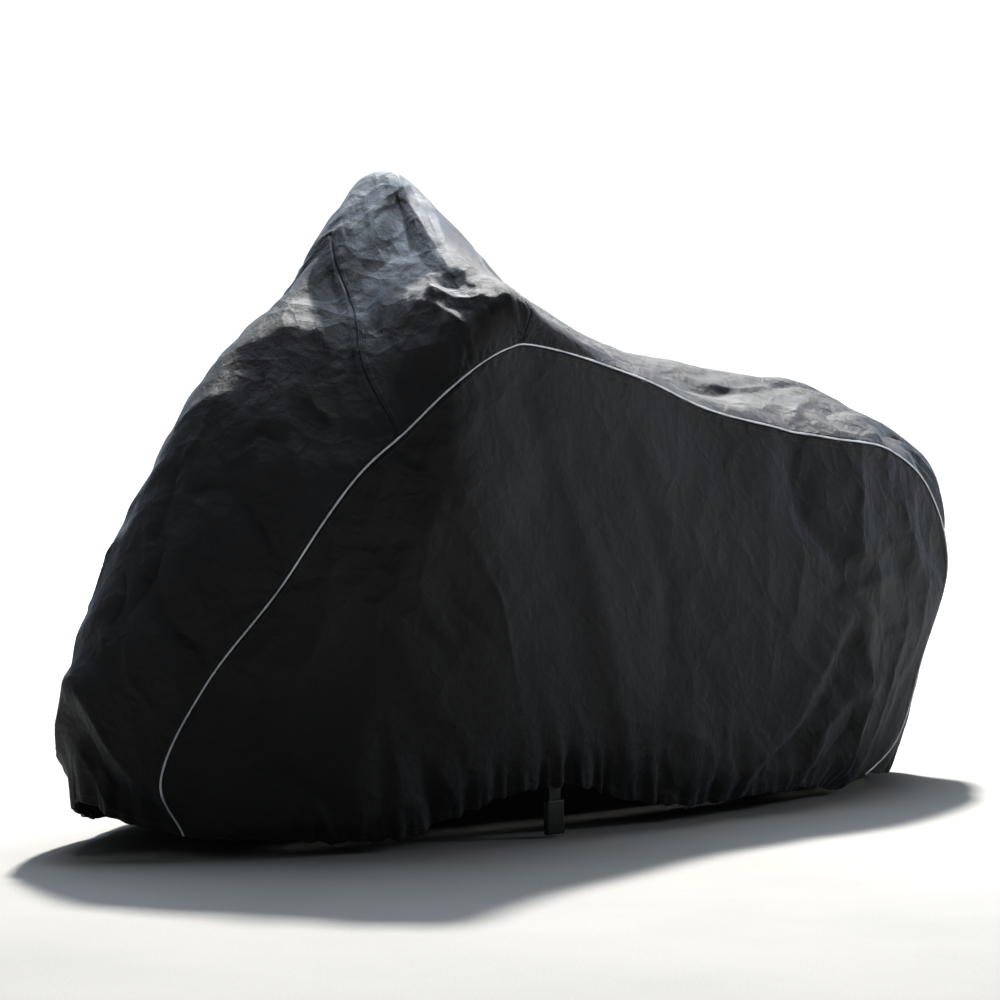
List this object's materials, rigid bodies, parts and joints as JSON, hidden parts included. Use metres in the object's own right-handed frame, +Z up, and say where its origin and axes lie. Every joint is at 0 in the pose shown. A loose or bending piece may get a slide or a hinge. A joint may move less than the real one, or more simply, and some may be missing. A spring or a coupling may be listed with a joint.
{
  "type": "fitted motorcycle cover",
  "caption": "Fitted outdoor cover of black coated cloth, as it hangs over a motorcycle with a screen, with light reflective piping, an elastic hem and a belly strap buckle.",
  "frame": {"origin": "on the ground, under the middle of the cover's box", "axes": "+X towards the tail, +Y towards the motorcycle's right-hand side, +Z up"},
  "size_m": [2.2376, 0.8122, 1.271],
  "materials": {
    "cover_cloth": "black coated polyester with a fine weave and a soft sheen",
    "reflective_piping": "light grey reflective piping",
    "strap_webbing": "black ribbed webbing",
    "buckle_plastic": "black moulded plastic, satin"
  },
  "bodies": {
    "root": {"front_panel": "cover_cloth", "hood_panel": "cover_cloth", "seat_panel": "cover_cloth", "side_panel_left": "cover_cloth", "side_panel_right": "cover_cloth", "piping_left": "reflective_piping", "piping_right": "reflective_piping", "belly_strap_left": "strap_webbing", "belly_strap_right": "strap_webbing", "buckle_housing_left": "buckle_plastic", "buckle_plug_right": "buckle_plastic"}
  },
  "joints": []
}
